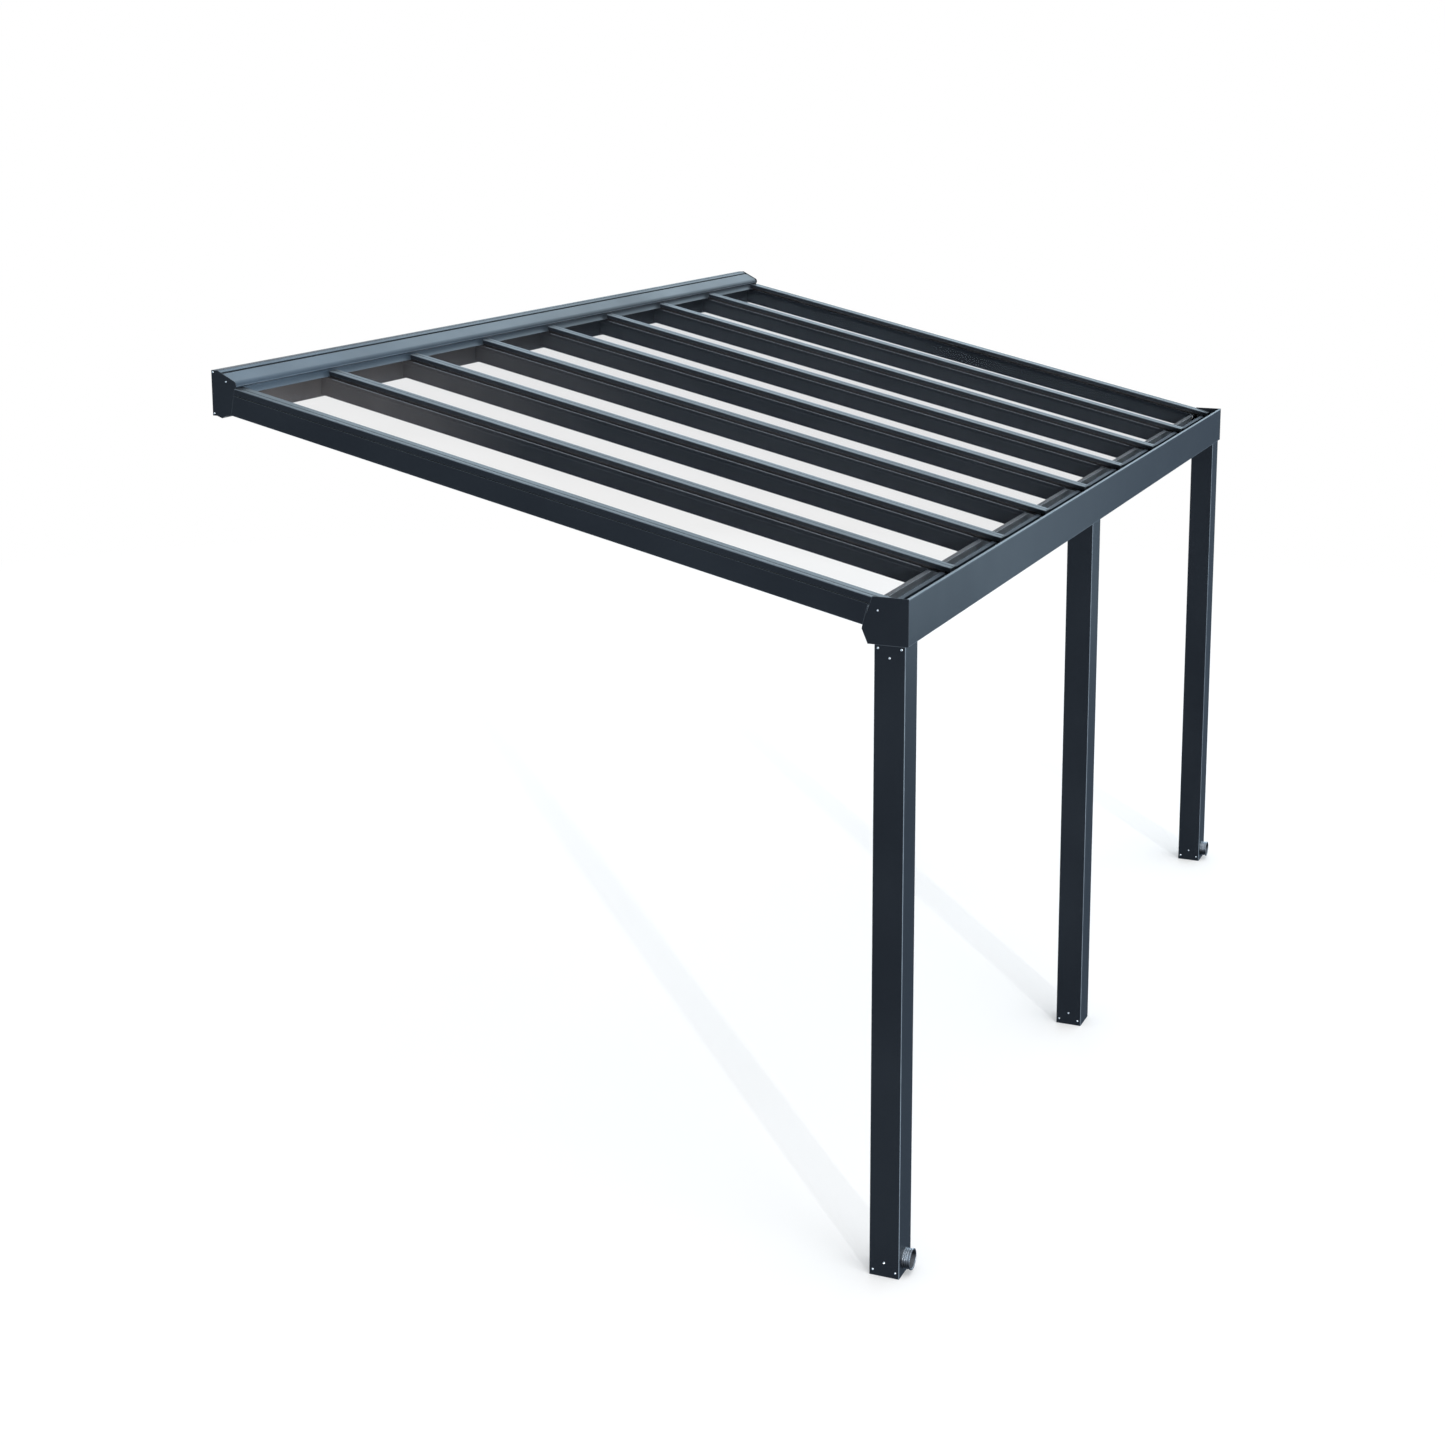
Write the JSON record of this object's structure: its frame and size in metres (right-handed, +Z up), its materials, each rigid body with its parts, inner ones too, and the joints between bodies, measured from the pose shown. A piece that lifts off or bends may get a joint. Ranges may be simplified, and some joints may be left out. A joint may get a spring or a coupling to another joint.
{
  "type": "patio cover",
  "caption": "Wall-held lean-to patio cover: sloping rafters with clear panels between a wall beam and a gutter on square posts.",
  "frame": {"origin": "on the wall beam's back face, at the middle of its length and height", "axes": "+X along the wall to the right when seen from the garden, +Y into the wall, +Z up"},
  "size_m": [4.94, 2.778, 3.0867],
  "materials": {
    "frame_coat": "matte anthracite powder coat on aluminium",
    "panel_clear": "clear polycarbonate",
    "seal": "black rubber",
    "bracket_steel": "galvanised steel",
    "spout_metal": "grey cast aluminium"
  },
  "bodies": {
    "root": {"wall_beam": "frame_coat", "wall_cover": "frame_coat", "wall_end_plate_left": "frame_coat", "wall_end_plate_right": "frame_coat", "side_rafter_left": "frame_coat", "side_rafter_right": "frame_coat", "side_cap_left": "frame_coat", "side_cap_right": "frame_coat", "rafter_1": "frame_coat", "rafter_cap_1": "frame_coat", "rafter_2": "frame_coat", "rafter_cap_2": "frame_coat", "rafter_3": "frame_coat", "rafter_cap_3": "frame_coat", "rafter_4": "frame_coat", "rafter_cap_4": "frame_coat", "rafter_5": "frame_coat", "rafter_cap_5": "frame_coat", "rafter_6": "frame_coat", "rafter_cap_6": "frame_coat", "rafter_7": "frame_coat", "rafter_cap_7": "frame_coat", "roof_panel_1": "panel_clear", "roof_panel_2": "panel_clear", "roof_panel_3": "panel_clear", "roof_panel_4": "panel_clear", "roof_panel_5": "panel_clear", "roof_panel_6": "panel_clear", "roof_panel_7": "panel_clear", "roof_panel_8": "panel_clear", "panel_end_trims": "frame_coat", "panel_gaskets": "seal", "gutter_front": "frame_coat", "gutter_floor": "frame_coat", "gutter_back": "frame_coat", "gutter_end_plate_left": "frame_coat", "gutter_end_plate_right": "frame_coat", "post_left": "frame_coat", "post_foot_left": "bracket_steel", "post_middle": "frame_coat", "post_foot_middle": "bracket_steel", "post_right": "frame_coat", "post_foot_right": "bracket_steel", "drain_spout_left": "spout_metal", "drain_spout_right": "spout_metal"}
  },
  "joints": []
}
